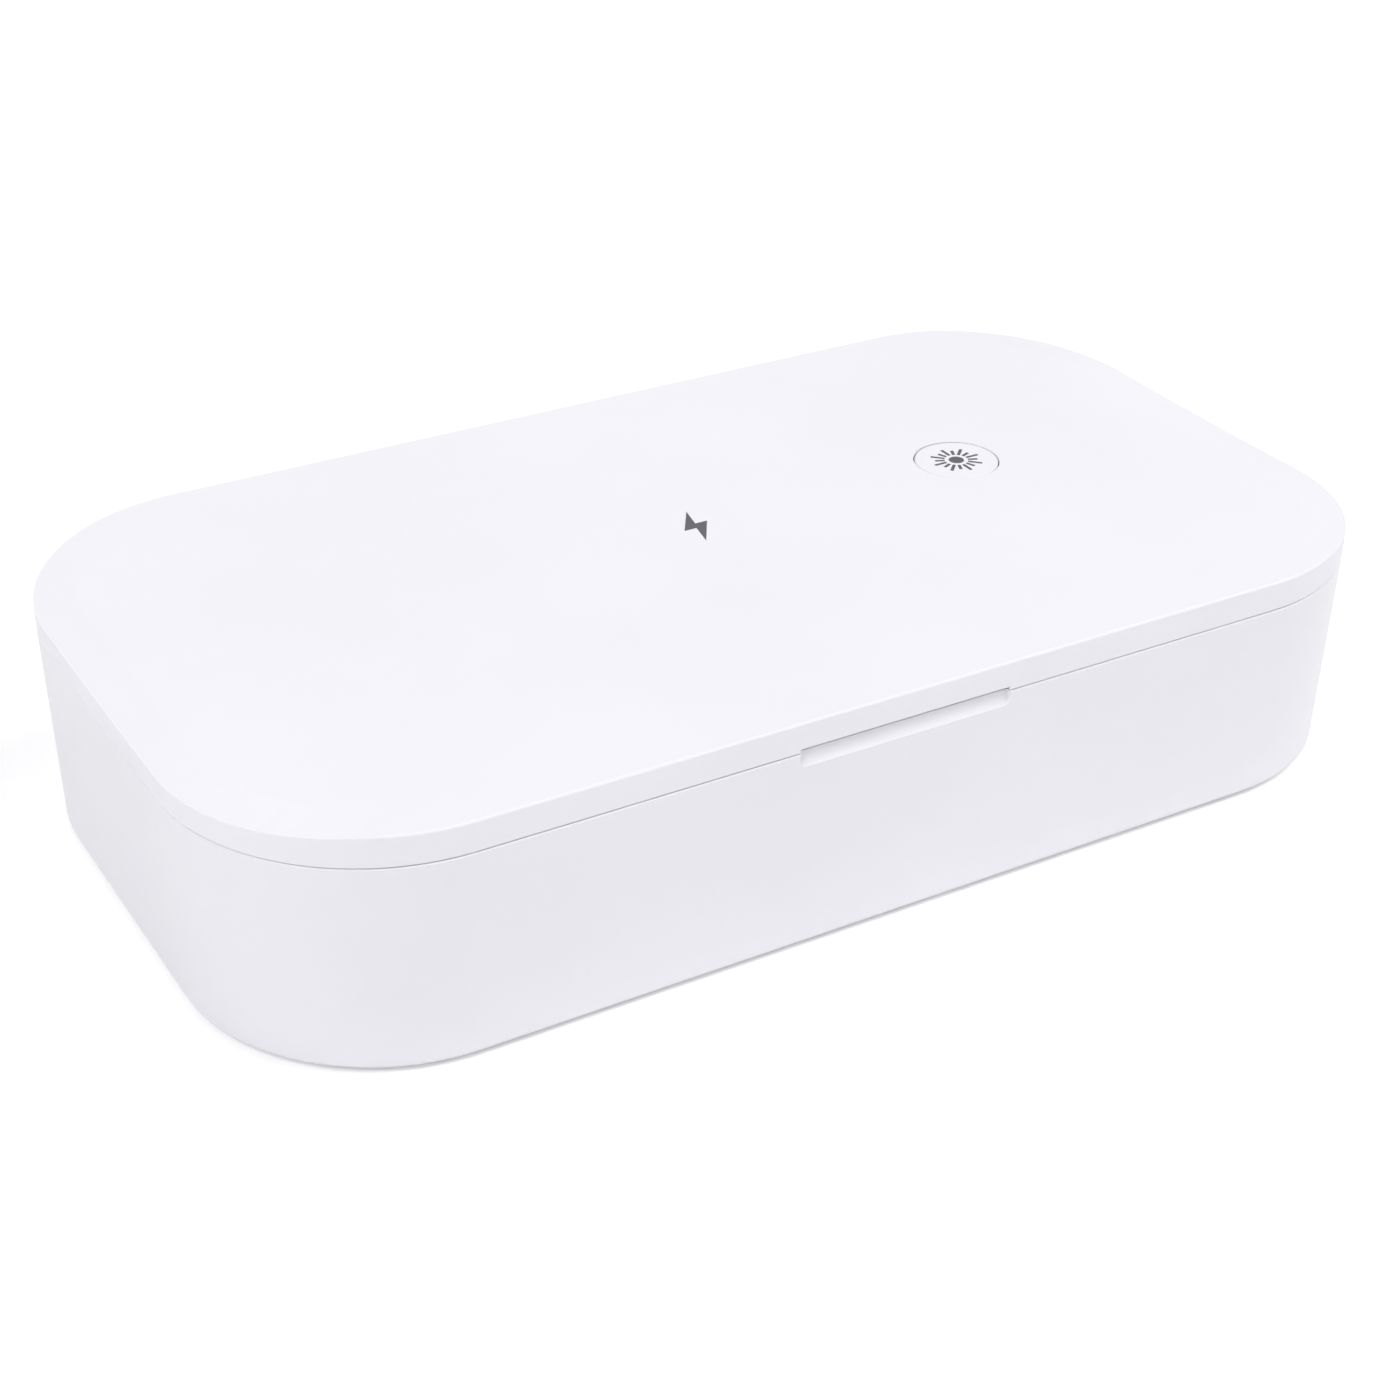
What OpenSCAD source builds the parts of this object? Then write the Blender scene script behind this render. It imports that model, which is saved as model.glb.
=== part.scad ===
// Sanitizer box for phones: a tub with a hinged lid, and ultraviolet lamps above and below
// the phone. The origin is on the table under the middle of the box, +X runs along the
// long side, the front with the finger notch faces -Y, and +Z is up.

/* [Box] */
// Length over the end walls
body_l = 216; // [190:1:262]
// Width over the long walls
body_w = 120; // [112:1:146]
// Radius of the four upright corners
corner_r = 34.7; // [29:0.1:42]
// Height of the base shell
base_h = 36.2; // [30.1:0.05:46]
// Height of the lid from its lower rim to its flat top
lid_h = 5.25; // [5.1:0.05:8]
// Gap between the base and the lid
seam_gap = 0.15; // [0.1:0.05:0.4]
// Rounding of the two edges along the seam
seam_round = 0.25; // [0.1:0.05:0.4]
// Rounding of the lid's top edge
top_round = 0.4; // [0.2:0.1:0.8]
// How far the base walls lean in at the bottom
base_draft = 1; // [0.5:0.1:2]
// Wall of both shells
shell_wall = 2.4; // [2:0.1:3]
// Floor of the base shell
floor_t = 2.2; // [2:0.1:3]
// Top plate of the lid
lid_top_t = 2.2; // [2:0.1:3]

/* [Lid ends] */
// Width of the sloping facet at the middle of each end
facet_w = 7; // [4:0.1:9]
// How far the facet's inner line stands in from the long sides
facet_side = 8; // [6:0.1:11]
// Drop of the facet's outer edge at the middle of each end
facet_drop = 1.5; // [0.6:0.1:1.8]
// How quickly the drop fades round the corners
facet_fade = 0.7; // [0.5:0.1:3]
// Distance from the long sides at which the facet has run out
facet_run_out = 2.5; // [2:0.5:9]

/* [Finger notch] */
// Width of the notch in the front
notch_w = 39; // [24:1:60]
// How deep its hollow is at the seam
notch_in = 0.95; // [0.7:0.05:1.5]
// How far the hollow goes down from the seam
notch_down = 2.6; // [2:0.1:3.5]
// How far the notch cuts up into the lid rim
notch_up = 0.8; // [0.4:0.1:1.4]
// Rounding of its lower corners
notch_corner_r = 1.5; // [0.5:0.1:1.9]

/* [Chamber] */
// Room for the electronics under the tray
bay_h = 9; // [8.6:0.1:12]
// How far the chamber walls stand in from the box outline
tray_in = 7; // [6.9:0.1:10]
// Wall of the tray
tray_t = 1.2; // [1:0.1:1.6]
// Floor of the tray
tray_floor_t = 1.5; // [1.4:0.1:2]
// Depth of the lid's inner cover under the tray flange
panel_depth = 5.75; // [5:0.05:8]
// Height of the ribs that carry the phone
rest_h = 3.5; // [2:0.5:5]
// Distances of the rest ribs from the middle
rest_x = 48; // [40:1:56]

/* [Hinge] */
// Radius of the hinge knuckles
knuckle_r = 2; // [1.8:0.1:2.4]
// Diameter of the hinge pins
pin_d = 1.8; // [1.4:0.1:2]
// Distance of each hinge from the middle of the back
hinge_x = 52; // [36:1:60]
// Length of each hinge
hinge_l = 28; // [20:1:34]
// Length of its middle knuckle, which belongs to the lid
hinge_mid = 10; // [6:1:12]
// Slope of the relief over and under the hinge line, in degrees
relief_angle = 52; // [50:1:54]
// Length of the hollow knuckle that the lead runs through
lead_knuckle_l = 14; // [10:1:18]
// Diameter of the lead between base and lid
lead_d = 1.6; // [1.2:0.1:1.6]

/* [Button] */
// Diameter of the button cap
button_d = 15.1; // [12:0.1:18]
// Distance of the button from the middle, along the box
button_x = 54.5; // [50:0.5:58]
// Distance of the button from the middle, toward the back
button_y = 4.9; // [0:0.1:8]
// Travel of the button
button_travel = 0.5; // [0.3:0.1:0.7]
// Gap round the button cap
button_gap = 0.25; // [0.2:0.05:0.4]

/* [Charging pad] */
// Diameter of the charging coil
coil_d = 46; // [36:1:54]
// Distance of the coil from the middle, toward the back
coil_y = 4.7; // [0:0.1:8]

/* [Lamps] */
// Distances of the lamps from the middle, along the box
lamp_xs = [-72, -26, 26, 72];
// Side of a lamp package
lamp_s = 3.5; // [2.8:0.1:4]
// Diameter of the lamp windows
window_d = 9; // [7:0.5:10]

/* [Feet and screws] */
// Diameter of the rubber feet
foot_d = 16; // [12:1:18]
// How far the feet stand out of the base
foot_proud = 0.8; // [0.5:0.1:1.5]
// Distance of feet and tray screws from the ends
foot_in_x = 22; // [20:1:30]
// Distance of feet and tray screws from the long sides
foot_in_y = 22; // [20:1:26]
// Diameter of the tray screws
tray_screw_d = 3; // [2.5:0.1:3]
// Diameter of the lid screws
lid_screw_d = 2.5; // [2:0.1:2.6]
// Diameter of the board screws
board_screw_d = 2; // [1.6:0.1:2.2]

/* [Power inlet] */
// Width of the inlet's metal shell
inlet_w = 8.94; // [8.9:0.01:9]
// Height of the inlet's metal shell
inlet_h = 3.2; // [3.1:0.01:3.3]
// Length of the inlet's metal shell
inlet_l = 7.4; // [6.8:0.1:8]

/* [Hidden] */
$fn = 72;

cut = 1;            // how far a cut runs past the surface that it opens
fit = 0.2;          // gap beside a loosely placed piece
screw_fit = 0.03;   // gap round a screw's thread in its hole
screw_pass = 0.15;  // gap round a screw that only passes through
seat = 0.05;        // gap over a piece that lies in a recess
sink = 0.5;         // how far a boss runs into the plate that carries it
wall_root = 1.4;    // distance from the outline at which ribs and rails end inside a wall

// levels
floor_z = foot_proud;
bay_z = floor_z + floor_t;
base_z = floor_z + base_h;
rim_z = base_z + seam_gap;
top_z = rim_z + lid_h;
ceiling_z = top_z - lid_top_t;

// hinge line
hinge_y = body_w / 2 - knuckle_r;
hinge_z = (base_z + rim_z) / 2;
swing_gap = 0.3;                         // gap round a knuckle in the other half
end_gap = 0.3;                           // gap between neighbouring knuckles
rail_in = knuckle_r + swing_gap + 1.3;   // depth of the rails behind the hinge line
rail_y = hinge_y - rail_in;
rail_side = 1.5;                         // length of a rail past its knuckles
rail_low = 9;                            // height of the base rail under the seam
rail_slope = 3.5;                        // rise of its sloping underside
lead_bore_d = lead_d + 0.6;
lead_clear = 0.35;                       // gap beside the lead in its slots
lead_out = 11;                           // where the lead stands off the lead knuckle
lead_reach = lead_out + lead_d / 2 + lead_clear;
lead_rail_half = lead_out + 2.5;         // half length of the rails at the lead
pin_set = 0.5;                           // how far a pin's ends stand inside the knuckles
pin_grip = 0.02;                         // gap round a pin in the base's knuckles
pin_run = 0.06;                          // gap round a pin in the lid's knuckle

// tray
flange_t = 1.5;
flange_z = base_z - 1.25;                // top of the tray flange
ledge_z = flange_z - flange_t;
ledge_in = shell_wall + 2.2;
ledge_t = 1;                             // straight edge of the ledge
ledge_slope = 2.5;                       // height of the slope under it
tray_z = bay_z + bay_h;
well_z = tray_z + tray_floor_t;
tray_round = 4;                          // radius between tray floor and tray wall
tray_skin = 0.6;                         // what is left of the tray's floor over a screw hole
rest_r = 1;                              // half thickness of the rest ribs
rib_t = 1.2;
rib_in = 4;                              // distance of a wall rib's face from the outline
rib_pitch = 20;                          // spacing of the wall ribs

// lid cover
cover_z = rim_z + 0.1;                   // underside of the cover's flange
cover_flange_t = 1.4;
cover_t = 1.5;
cover_gap = 1.3;                         // gap between the cover's wall and the tray's
cover_in = tray_in + tray_t + cover_gap;
cover_low_z = cover_z - panel_depth;
cover_floor_z = cover_low_z + cover_t;
cover_round = 3;
sheet_t = 0.4;                           // reflector sheets
sheet_gap = 0.3;                         // gap between a sheet and the rounding beside it

// chamber seal
seal_w = 2;
seal_gap = 0.15;                         // gap between the seal and the lid's cover
seal_t = cover_z - flange_z - seal_gap;
seal_in = body_w / 2 - rail_y + fit;

// boards
board_t = 1.2;
lamp_t = 1.1;
window_t = 1.1;
window_lip = 0.8;
lamp_board_l = 164;
lamp_board_w = 16;
lamp_board_drop = 2.2;                   // how far the lamp board hangs under the tray
lamp_board_z = tray_z - lamp_board_drop - board_t;
lamp_board_hole = [lamp_board_l / 2 - 4, lamp_board_w / 2 - 3];
control_l = 64;
control_w = 28;
control_gap = 0.8;                       // gap between the control board and the back wall
control_y = body_w / 2 - shell_wall - base_draft - control_gap - control_w / 2;
control_z = bay_z + 3;
control_hole = [control_l, control_w] / 2 - [4, 4];
lid_board_l = 172;
lid_board_w = 30;
lid_board_y = 3;
lid_board_z = cover_floor_z + lamp_t + 0.1;
lid_board_top = lid_board_z + board_t;
lid_board_hole = [lid_board_l, lid_board_w] / 2 - [4, 4];
board_post_d = 4.6;
board_head = [3.6, 1];                   // diameter and height of a board screw's head
board_bite = 2.6;                        // length of a board screw in its post
board_hole_depth = board_bite + 0.5;
inlet_z = control_z + board_t + inlet_h / 2;
inlet_set = 0.5;                         // how far the inlet's mouth stands in the wall
inlet_face_y = body_w / 2 - base_draft * (1 - (inlet_z - floor_z) / base_h) - inlet_set;
inlet_gap = 0.25;                        // gap round the inlet in the wall
inlet_back = 0.8;                        // thickness of the inlet's closed end

// feet and screws
foot_set = 1.2;                          // depth of the foot's recess
foot_at = [body_l / 2 - foot_in_x, body_w / 2 - foot_in_y];
tray_boss_z = bay_z + 5;
tray_boss_d = 9;
tray_leg_d = 7;
tray_head = [5.4, 1.7];                  // diameter and height of a tray screw's head
tray_seat_z = floor_z + foot_set + seat + tray_head[1];
tip_gap = 1;                             // room past the tip of a tray screw
lid_boss_d = 6.4;
lid_head = [4.6, 0.8];                   // diameter and height of a lid screw's head
lid_head_set = lid_head[1] + 0.1;        // depth of its recess
lid_screw_l = 5.5;
lid_screw_at = foot_at - [2, 2];
lid_screw_mid_y = body_w / 2 - 18;

// magnets and sensor
magnet = [10, 2.6, 4];
lid_magnet = [10, 2.6, 1.3];
magnet_x = 42;
magnet_y = -(body_w / 2 - shell_wall - 1.9);
holder_t = 0.8;
holder_floor = 1.2;
sensor_x = 66;
sensor_board = [9, 1, 14];
sensor_y = -(body_w / 2 - ledge_in - fit - sensor_board.y / 2);
sensor_z = ledge_z - 0.6 - sensor_board.z / 2;
sensor_switch = [4, 0.9, 3];
sensor_magnet_d = 2.6;
guide_t = 1.6;
guide_foot = 2;                          // how far the guides go on under the board

// button stack
button_flange_d = button_d + 2.8;
button_flange_t = 1;
collar_t = 1.3;
collar_gap = 0.3;                        // gap between the cap's flange and the collar
collar_h = 2.6;
flange_gap = 0.3;                        // gap between the cap's flange and the ceiling
cap_round = 0.3;
stem_d = 4.5;
tact_s = 6;
tact_h = 2;
tact_floor = 0.4;
tact_spare = 0.1;                        // room left under the plunger at the end of its travel
plunger_d = 3.4;
plunger_gap = 0.15;
plunger_z = lid_board_top + tact_h + button_travel + tact_spare;

// coil stack
coil_t = 1.2;
coil_hole_d = 19;
coil_ring_h = 1.4;
coil_ring_t = 1.2;
coil_gap = 0.3;                          // gap between the coil and its ring
shield_t = 0.7;

// corner centres
core_l = body_l - 2 * corner_r;
core_w = body_w - 2 * corner_r;
corners = [for (q = [[1, 1], [-1, 1], [-1, -1], [1, -1]]) [q.x * core_l / 2, q.y * core_w / 2]];

// Points of an arc
function arc(centre, r, from, to, steps = 8) =
    [for (k = [0:steps]) let (a = from + (to - from) * k / steps) centre + r * [cos(a), sin(a)]];

// Distance of a wall's face from the corner centres at a level, drawn in by inset
function wall_x(z, inset) = corner_r - inset - base_draft * (1 - (z - floor_z) / base_h);

// The plan outline of the box, drawn in by inset
module outline(inset = 0) {
    square([core_l, body_w - 2 * inset], center = true);
    square([body_l - 2 * inset, core_w], center = true);
    for (c = corners)
        translate(c) circle(corner_r - inset);
}

// A flat plate with the box outline
module plate(inset, z, t) {
    translate([0, 0, z]) linear_extrude(t) outline(inset);
}

// Carries a wall profile round the box: x is measured outward from the corner centres
module round_the_box() {
    for (q = [0:3])
        translate(corners[q]) rotate(90 * q) rotate_extrude(angle = 90) children();
    for (turn = [0, 180]) {
        rotate(turn) translate([core_l / 2, 0, 0]) rotate([90, 0, 0])
            linear_extrude(core_w, center = true) children();
        rotate(turn + 90) translate([core_w / 2, 0, 0]) rotate([90, 0, 0])
            linear_extrude(core_l, center = true) children();
    }
}

// Fills the middle of a form made by round_the_box()
module middle(z, t) {
    translate([-core_l / 2, -core_w / 2, z]) cube([core_l, core_w, t]);
}

module box_from(low, high) {
    translate(low) cube(high - low);
}

// Copies its children to both signs of x and y
module four_times(at) {
    for (sx = [-1, 1], sy = [-1, 1])
        translate([sx * at.x, sy * at.y]) children();
}

// An upright slot with round ends
module stadium(w, h) {
    square([w - h, h], center = true);
    for (s = [-1, 1])
        translate([s * (w - h) / 2, 0]) circle(d = h);
}

module on_hinge_line(x0, x1, r) {
    translate([x0, hinge_y, hinge_z]) rotate([0, 90, 0]) cylinder(r = r, h = x1 - x0);
}

// Wedge that frees the back walls so that the lid can fold over
module hinge_relief() {
    reach = knuckle_r + cut;
    translate([-body_l / 2, hinge_y, hinge_z]) rotate([90, 0, 90]) linear_extrude(body_l)
        polygon([[0, 0], [reach, -reach * tan(relief_angle)], [reach, reach * tan(relief_angle)]]);
}

// Front view of the finger notch, with round lower corners
module notch_window() {
    r = notch_corner_r;
    low = hinge_z - notch_down;
    high = rim_z + notch_up;
    translate([-notch_w / 2 + r, low]) square([notch_w - 2 * r, high - low]);
    translate([-notch_w / 2, low + r]) square([notch_w, high - low - r]);
    for (s = [-1, 1])
        translate([s * (notch_w / 2 - r), low + r]) circle(r);
}

// A hollow that is deepest at the seam, under a shallow straight cut in the lid's rim
module finger_notch() {
    front = -body_w / 2;
    hollow_r = (pow(notch_in, 2) + pow(notch_down, 2)) / (2 * notch_in);
    intersection() {
        translate([0, front + shell_wall, 0]) rotate([90, 0, 0]) linear_extrude(shell_wall + cut)
            notch_window();
        union() {
            translate([-notch_w, front + notch_in - hollow_r, hinge_z]) rotate([0, 90, 0])
                cylinder(r = hollow_r, h = 2 * notch_w);
            box_from([-notch_w, front - cut, hinge_z], [notch_w, front + notch_in, top_z]);
        }
    }
}

// A round tube swept along points
function unit(v) = v / norm(v);
function heading(p, i) = unit(p[min(i + 1, len(p) - 1)] - p[max(i - 1, 0)]);
function square_to(u, t) = unit(u - (u * t) * t);
function side_at(p, i, u) =
    i == 0 ? square_to(u, heading(p, 0)) : square_to(side_at(p, i - 1, u), heading(p, i));

module lead(p, d, up = [0, 0, 1], sides = 8) {
    n = len(p);
    rings = [for (i = [0:n - 1]) let (u = side_at(p, i, up), v = cross(heading(p, i), u))
        for (k = [0:sides - 1]) let (a = 360 * k / sides) p[i] + d / 2 * (cos(a) * u + sin(a) * v)];
    skin = [for (i = [0:n - 2], k = [0:sides - 1])
        let (a = i * sides + k, b = i * sides + (k + 1) % sides)
        each [[a, a + sides, b], [b, a + sides, b + sides]]];
    ends = [[for (k = [0:sides - 1]) k], [for (k = [sides - 1:-1:0]) (n - 1) * sides + k]];
    polyhedron(rings, concat(skin, ends));
}

// ---------------------------------------------------------------- base

module base_wall() {
    low_r = 1.2;
    in_r = 2;
    slope_z = ledge_z - ledge_t - ledge_slope;
    out_x = wall_x(floor_z + low_r, 0) - low_r;
    in_x = wall_x(bay_z + in_r, shell_wall) - in_r;
    polygon(concat(
        [[0, floor_z]], arc([out_x, floor_z + low_r], low_r, -90, 0, 5),
        arc([corner_r - seam_round, base_z - seam_round], seam_round, 0, 90, 4),
        [[corner_r - shell_wall, base_z], [corner_r - shell_wall, ledge_z],
         [corner_r - ledge_in, ledge_z], [corner_r - ledge_in, ledge_z - ledge_t],
         [wall_x(slope_z, shell_wall), slope_z]],
        arc([in_x, bay_z + in_r], in_r, 0, -90, 5), [[0, bay_z]]));
}

// Rail inside the back wall that carries the knuckles, with a sloping underside
module base_rail(x, half) {
    low = base_z - rail_low;
    root = body_w / 2 - wall_root;
    box_from([x - half, rail_y, low], [x + half, root, base_z]);
    translate([x - half, 0, 0]) rotate([90, 0, 90]) linear_extrude(2 * half)
        polygon([[rail_y, low], [root, low], [root, low - rail_slope]]);
}

module magnet_holders() {
    half = magnet / 2 + [holder_t + fit, holder_t + fit, 0];
    for (s = [-1, 1])
        box_from([s * magnet_x - half.x, -body_w / 2 + wall_root, ledge_z - magnet.z - holder_floor],
                 [s * magnet_x + half.x, magnet_y + half.y, ledge_z]);
}

module sensor_guides() {
    low = sensor_z - sensor_board.z / 2 - guide_foot;
    for (s = [-1, 1])
        translate([sensor_x + s * (sensor_board.x / 2 + fit + guide_t / 2), 0, 0])
            box_from([-guide_t / 2, -body_w / 2 + wall_root, low],
                     [guide_t / 2, sensor_y + sensor_board.y, ledge_z]);
}

// Upright stiffening ribs inside a wall whose straight part is span long
module ribs_along(span, half_depth) {
    n = floor(span / 2 / rib_pitch);
    for (k = [-n:n], turn = [0, 180])
        rotate(turn) translate([k * rib_pitch, 0, 0])
            box_from([-rib_t / 2, half_depth - rib_in, bay_z - seat],
                     [rib_t / 2, half_depth - wall_root, ledge_z - 2]);
}

module wall_ribs() {
    ribs_along(core_l, body_w / 2);
    rotate(90) ribs_along(core_w, body_l / 2);
}

module hinge_rails() {
    difference() {
        union() {
            for (s = [-1, 1])
                base_rail(s * hinge_x, hinge_l / 2 + rail_side);
            base_rail(0, lead_rail_half);
        }
        hinge_relief();
    }
}

// What the feet and the tray screws need in the floor
module foot_recess() {
    translate([0, 0, floor_z - cut]) cylinder(d = foot_d + 2 * fit, h = foot_set + cut);
    translate([0, 0, floor_z]) cylinder(d = tray_head[0] + 2 * fit, h = tray_seat_z - floor_z);
    translate([0, 0, floor_z]) cylinder(d = tray_screw_d + 2 * screw_pass, h = tray_boss_z);
}

module base_body() {
    difference() {
        union() {
            round_the_box() base_wall();
            middle(floor_z, floor_t);
            wall_ribs();
            magnet_holders();
            sensor_guides();
            four_times(foot_at) translate([0, 0, bay_z - sink])
                cylinder(d = tray_boss_d, h = tray_boss_z - bay_z + sink);
            translate([0, control_y, bay_z - sink]) four_times(control_hole)
                cylinder(d = board_post_d, h = control_z - bay_z + sink);
            hinge_rails();
        }
        hinge_relief();
        for (s = [-1, 1])
            on_hinge_line(s * hinge_x - hinge_mid / 2 - end_gap, s * hinge_x + hinge_mid / 2 + end_gap,
                          knuckle_r + swing_gap);
        on_hinge_line(-lead_reach, lead_knuckle_l / 2 + end_gap, knuckle_r + swing_gap);
        lead_slot_base();
        finger_notch();
        four_times(foot_at) foot_recess();
        translate([0, control_y, control_z - board_hole_depth]) four_times(control_hole)
            cylinder(d = board_screw_d + 2 * screw_fit, h = board_hole_depth + cut);
        for (s = [-1, 1])
            translate([s * magnet_x, magnet_y, ledge_z - magnet.z - 2 * seat])
                translate([-magnet.x / 2 - fit, -magnet.y / 2 - fit, 0])
                    cube(magnet + [2 * fit, 2 * fit, cut]);
        inlet_opening();
    }
}

module base_shell() {
    color("#f2f1f5") difference() {
        union() {
            base_body();
            for (s = [-1, 1], e = [-1, 1])
                outer_knuckle(s * hinge_x, e, end_gap, 0, knuckle_r);
        }
        for (s = [-1, 1])
            on_hinge_line(s * hinge_x - hinge_l / 2 - cut, s * hinge_x + hinge_l / 2 + cut,
                          pin_d / 2 + pin_grip);
    }
}

// The stretch of an outer knuckle, from the middle knuckle's end plus inner_gap, to its own end
module outer_knuckle(x, end, inner_gap, outer_gap, r) {
    near = x + end * (hinge_mid / 2 + inner_gap);
    far = x + end * (hinge_l / 2 + outer_gap);
    on_hinge_line(min(near, far), max(near, far), r);
}

module lead_slot_base() {
    box_from([lead_knuckle_l / 2, rail_y - cut, base_z - rail_low - rail_slope - cut],
             [lead_reach, hinge_y + lead_d / 2 + lead_clear, base_z + cut]);
}

module inlet_opening() {
    translate([0, body_w / 2 + cut, inlet_z]) rotate([90, 0, 0])
        linear_extrude(shell_wall + base_draft + 2 * cut)
            stadium(inlet_w + 2 * inlet_gap, inlet_h + 2 * inlet_gap);
}

// Section of the tray's wall and flange
module tray_wall() {
    out_x = corner_r - tray_in;
    in_x = out_x - tray_t;
    out_r = tray_round + tray_t;
    flange_x = corner_r - shell_wall - fit;
    polygon(concat(
        [[0, tray_z]], arc([out_x - out_r, tray_z + out_r], out_r, -90, 0),
        [[out_x, ledge_z], [flange_x, ledge_z], [flange_x, flange_z], [in_x, flange_z]],
        arc([in_x - tray_round, well_z + tray_round], tray_round, 0, -90), [[0, well_z]]));
}

// The ribs that carry the phone, with round tops
module rest_ribs() {
    length = body_w - 2 * (tray_in + tray_t + tray_round + rest_r);
    top = well_z + rest_h - rest_r;
    for (x = [-rest_x, 0, rest_x])
        translate([x, 0, 0]) {
            box_from([-rest_r, -length / 2, well_z - sink], [rest_r, length / 2, top]);
            translate([0, 0, top]) rotate([90, 0, 0]) cylinder(r = rest_r, h = length, center = true);
        }
}

module chamber_tray() {
    post_z = lamp_board_z + board_t;
    color("#e9e8ec") difference() {
        union() {
            round_the_box() tray_wall();
            middle(tray_z, tray_floor_t);
            rest_ribs();
            four_times(foot_at) translate([0, 0, tray_boss_z])
                cylinder(d = tray_leg_d, h = tray_z - tray_boss_z + sink);
            four_times(lamp_board_hole) translate([0, 0, post_z])
                cylinder(d = board_post_d, h = tray_z - post_z + sink);
        }
        for (x = lamp_xs)
            translate([x, 0, 0]) {
                translate([0, 0, well_z - window_t - seat])
                    cylinder(d = window_d + fit, h = window_t + cut);
                translate([0, 0, tray_z - cut])
                    cylinder(d = window_d - 2 * window_lip, h = tray_floor_t + 2 * cut);
            }
        four_times(foot_at) translate([0, 0, tray_boss_z - cut])
            cylinder(d = tray_screw_d + 2 * screw_fit, h = well_z - tray_boss_z - tray_skin + cut);
        four_times(lamp_board_hole) translate([0, 0, post_z - cut])
            cylinder(d = board_screw_d + 2 * screw_fit, h = board_hole_depth + cut);
        rail_notches(ledge_z - cut, flange_z + cut);
    }
}

// Notches for the hinge rails in a flange
module rail_notches(z0, z1) {
    half = hinge_l / 2 + rail_side;
    for (rail = [[-hinge_x, half], [0, lead_rail_half], [hinge_x, half]])
        box_from([rail[0] - rail[1] - fit, rail_y - fit, z0], [rail[0] + rail[1] + fit, body_w / 2, z1]);
}

module tray_reflector() {
    half = rest_r + fit;
    color("#d5d8dc") difference() {
        plate(tray_in + tray_t + tray_round + sheet_gap, well_z, sheet_t);
        sheet_windows(well_z);
        for (x = [-rest_x, 0, rest_x])
            box_from([x - half, -body_w, well_z - cut], [x + half, body_w, well_z + cut]);
    }
}

// Holes in a reflector sheet at z, which hold the lamp windows by their edges
module sheet_windows(z) {
    for (x = lamp_xs)
        translate([x, 0, z - cut]) cylinder(d = window_d - 1, h = sheet_t + 2 * cut);
}

module lamp_discs(z) {
    for (x = lamp_xs)
        translate([x, 0, z]) cylinder(d = window_d, h = window_t);
}

module tray_lamp_windows() {
    color("#bcd3e6") lamp_discs(well_z - window_t);
}

// A lamp package: ceramic base with a raised lens
module lamp() {
    translate([0, 0, lamp_t * 0.35]) cube([lamp_s, lamp_s, lamp_t * 0.7], center = true);
    cylinder(d = lamp_s * 0.7, h = lamp_t);
}

module tray_lamps() {
    color("#e6e2d3") for (x = lamp_xs)
        translate([x, 0, lamp_board_z + board_t]) lamp();
}

// A board with round corners and four screw holes
module board(l, w, z, hole, r = 1.5) {
    translate([0, 0, z]) linear_extrude(board_t) difference() {
        union() {
            square([l - 2 * r, w], center = true);
            square([l, w - 2 * r], center = true);
            four_times([l / 2 - r, w / 2 - r]) circle(r);
        }
        four_times(hole) circle(d = board_screw_d + 2 * screw_pass);
    }
}

module tray_lamp_board() {
    color("#2f6b48") board(lamp_board_l, lamp_board_w, lamp_board_z, lamp_board_hole);
}

// A screw that points up from z; head gives the diameter and height of its head
module screw_up(z, d, head, length) {
    translate([0, 0, z - head[1]]) cylinder(d = head[0], h = head[1]);
    translate([0, 0, z - seat]) cylinder(d = d, h = length + seat);
}

module screw_down(z, d, head, length) {
    translate([0, 0, z]) mirror([0, 0, 1]) screw_up(0, d, head, length);
}

module tray_board_screws() {
    color("#9aa0a6") four_times(lamp_board_hole)
        screw_up(lamp_board_z, board_screw_d, board_head, board_t + board_bite);
}

module control_board() {
    color("#2f6b48") translate([0, control_y, 0])
        board(control_l, control_w, control_z, control_hole);
}

module control_board_screws() {
    color("#9aa0a6") translate([0, control_y, 0]) four_times(control_hole)
        screw_down(control_z + board_t, board_screw_d, board_head, board_t + board_bite);
}

// A soldered part at a place on its board
module chip(x, y, size) {
    translate([x, y, size.z / 2]) cube(size, center = true);
}

// Parts soldered on the control board: controller, driver coil, capacitors and connectors
module control_chips() {
    connector = [6, 4, 3];
    color("#3a3d42") translate([0, control_y, control_z + board_t]) {
        chip(-4, -6, [7, 7, 1.2]);
        chip(8, -5, [4.9, 3.9, 1.1]);
        chip(-14, 7, [6, 6, 2.8]);
        for (x = [12, 17])
            translate([x, 5, 0]) cylinder(d = 4, h = 3.6);
        for (x = [-21, 21])
            chip(x, -9, connector);
        chip(11, 10.5, connector);
    }
}

module buzzer() {
    color("#26282b") translate([-23, control_y + 4, control_z + board_t]) difference() {
        cylinder(d = 9, h = 3.8);
        translate([0, 0, 2.8]) cylinder(d = 1.6, h = 2);
    }
}

module inlet_shell() {
    sheet = 0.3;
    color("#c9ccd0") translate([0, inlet_face_y, inlet_z]) rotate([90, 0, 0]) difference() {
        linear_extrude(inlet_l) stadium(inlet_w, inlet_h);
        translate([0, 0, -cut]) linear_extrude(inlet_l - inlet_back + cut)
            stadium(inlet_w - 2 * sheet, inlet_h - 2 * sheet);
    }
}

module inlet_tongue() {
    tongue = [6.6, inlet_l - inlet_back - 1, 0.7];
    color("#1d1e20") translate([0, inlet_face_y - inlet_l + inlet_back, inlet_z])
        translate([-tongue.x / 2, 0, -tongue.z / 2]) cube(tongue);
}

module base_magnets() {
    color("#aeb2b8") for (s = [-1, 1])
        translate([s * magnet_x, magnet_y, ledge_z - magnet.z / 2 - seat])
            cube(magnet, center = true);
}

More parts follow.
